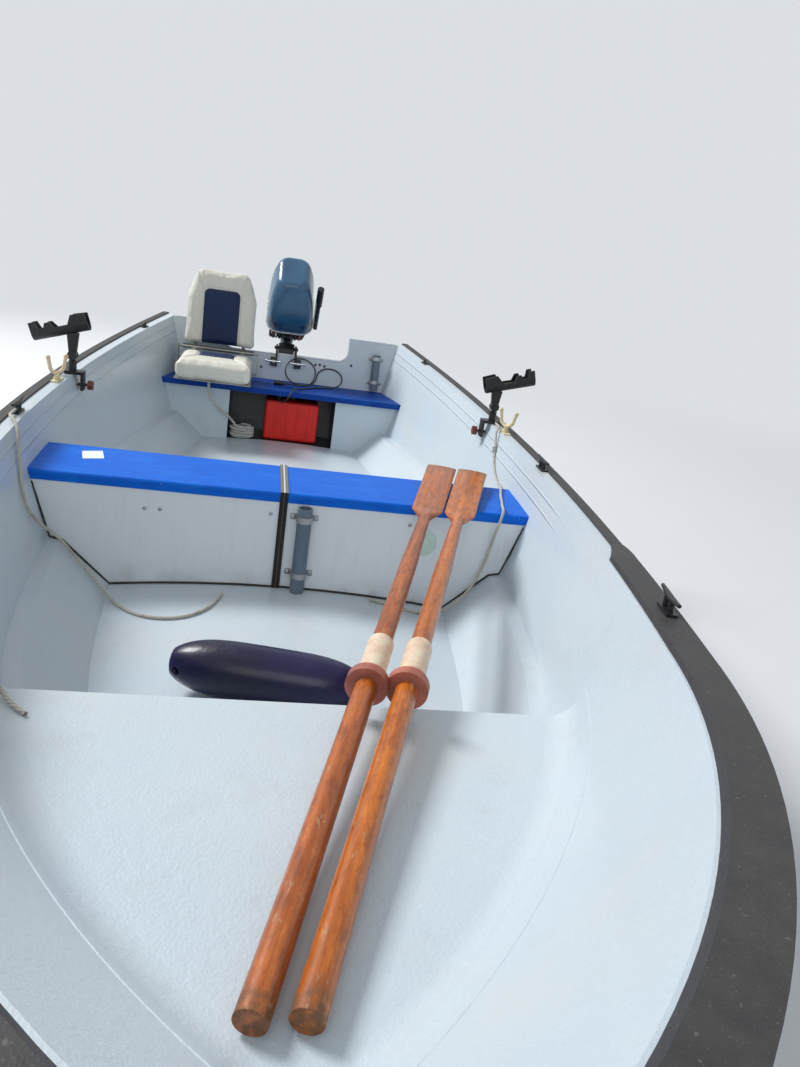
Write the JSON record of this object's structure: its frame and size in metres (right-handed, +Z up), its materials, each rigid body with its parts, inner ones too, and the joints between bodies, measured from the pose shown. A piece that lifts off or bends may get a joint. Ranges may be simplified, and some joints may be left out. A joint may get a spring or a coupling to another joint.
{
  "type": "open rowing boat with a small outboard motor",
  "caption": "Small open boat with a chined hull, blunt bow, platform, thwarts, rowlocks, oars, helm seat and an outboard motor tilted up on its notched transom.",
  "frame": {"origin": "underside of the keel on the centreline, amidships", "axes": "+X to the bow, +Y to port, +Z up"},
  "size_m": [4.6455, 1.7347, 0.9448],
  "materials": {
    "gelcoat": "pale blue-grey gelcoat, slightly rough",
    "white_panel": "white painted board",
    "blue_paint": "bright blue paint on board",
    "rubber": "black rubber moulding",
    "black_trim": "black strip",
    "grey_pipe": "grey pipe",
    "galvanised": "galvanised steel",
    "black_plastic": "black moulded plastic",
    "cream_plastic": "cream plastic",
    "seat_white": "off-white vinyl",
    "seat_metal": "thin aluminium",
    "block_wood": "yellow pine",
    "cowl_blue": "steel blue paint",
    "motor_grey": "dark grey blue paint",
    "motor_black": "black paint",
    "tank_red": "red plastic",
    "fender_navy": "navy inflated vinyl",
    "oar_wood": "varnished wood",
    "oar_sleeve": "faded red plastic",
    "rope": "cream rope",
    "anchor_rope": "grey beige rope",
    "rim_white": "pale seal",
    "hose": "black hose",
    "chrome": "polished"
  },
  "bodies": {
    "boat": {"hull_shell": "gelcoat", "transom": "gelcoat", "gunwale_flange": "gelcoat", "bow_strake": "rubber", "side_trims": "rubber", "keel": "gelcoat", "bilge_runners": "gelcoat", "sole": "gelcoat", "bow_bulkhead": "gelcoat", "bow_platform": "gelcoat", "centre_thwart_lids": "blue_paint", "centre_thwart_front": "white_panel", "centre_thwart_back": "white_panel", "centre_strip": "black_trim", "stern_thwart": "blue_paint", "stern_lockers": "gelcoat", "thwart_rod_tube": "grey_pipe", "transom_rod_tube": "grey_pipe", "rod_tube_saddles": "galvanised", "mooring_cleats": "black_plastic", "rowlock_sockets": "cream_plastic", "rod_holder_clamps": "black_plastic", "rod_holder_cradles": "black_plastic", "seat_blocks": "block_wood", "seat_base": "seat_metal", "seat_cushion": "seat_white", "outboard_clamp": "motor_black", "fuel_tank": "tank_red", "fuel_cap": "black_plastic", "fender": "fender_navy", "oar_starboard": "oar_wood", "oar_port": "oar_wood", "oar_collars": "oar_sleeve", "bow_eye": "galvanised", "stern_eyes": "black_plastic", "clamp_screws": "chrome", "rope_starboard": "rope", "rope_port": "rope", "rope_bow": "rope", "anchor_line": "anchor_rope", "anchor_hank": "anchor_rope", "fuel_hose": "hose", "hose_connector": "black_plastic"},
    "motor_swivel": {"outboard_swivel": "motor_black"},
    "motor": {"outboard_leg": "motor_grey", "outboard_pan": "motor_grey", "outboard_cowl": "cowl_blue", "outboard_tiller": "motor_black", "outboard_seal": "rim_white", "outboard_controls": "black_plastic"},
    "screw": {"propeller": "motor_black"},
    "rowlock_port_fork": {"rowlock_port": "cream_plastic"},
    "rowlock_starboard_fork": {"rowlock_starboard": "cream_plastic"},
    "seat_back": {"seat_back_pad": "seat_white", "seat_back_frame": "seat_metal"}
  },
  "joints": [
    {"name": "outboard_tilt", "type": "hinge", "parent": "boat", "child": "motor_swivel", "pos_m": [-2.05212, 0, 0.502], "axis": [0, 1, 0], "range_deg": [-40, 30]},
    {"name": "outboard_steer", "type": "hinge", "parent": "motor_swivel", "child": "motor", "pos_m": [-2.12546, 0, 0.47216], "axis": [-0.6428, 0, -0.766], "range_deg": [-45, 45]},
    {"name": "propeller_spin", "type": "hinge", "parent": "motor", "child": "screw", "pos_m": [-2.57698, 0, 0.30276], "axis": [0.766, 0, -0.6428], "continuous": true},
    {"name": "rowlock_port_swivel", "type": "hinge", "parent": "boat", "child": "rowlock_port_fork", "pos_m": [-0.53, 0.75102, 0.50054], "axis": [0.032, 0, 0.9995], "continuous": true},
    {"name": "rowlock_starboard_swivel", "type": "hinge", "parent": "boat", "child": "rowlock_starboard_fork", "pos_m": [-0.53, -0.75102, 0.50054], "axis": [0.032, 0, 0.9995], "continuous": true},
    {"name": "seat_fold", "type": "hinge", "parent": "boat", "child": "seat_back", "pos_m": [-1.846, -0.325, 0.4813], "axis": [0, 1, 0], "range_deg": [0, 85]}
  ]
}
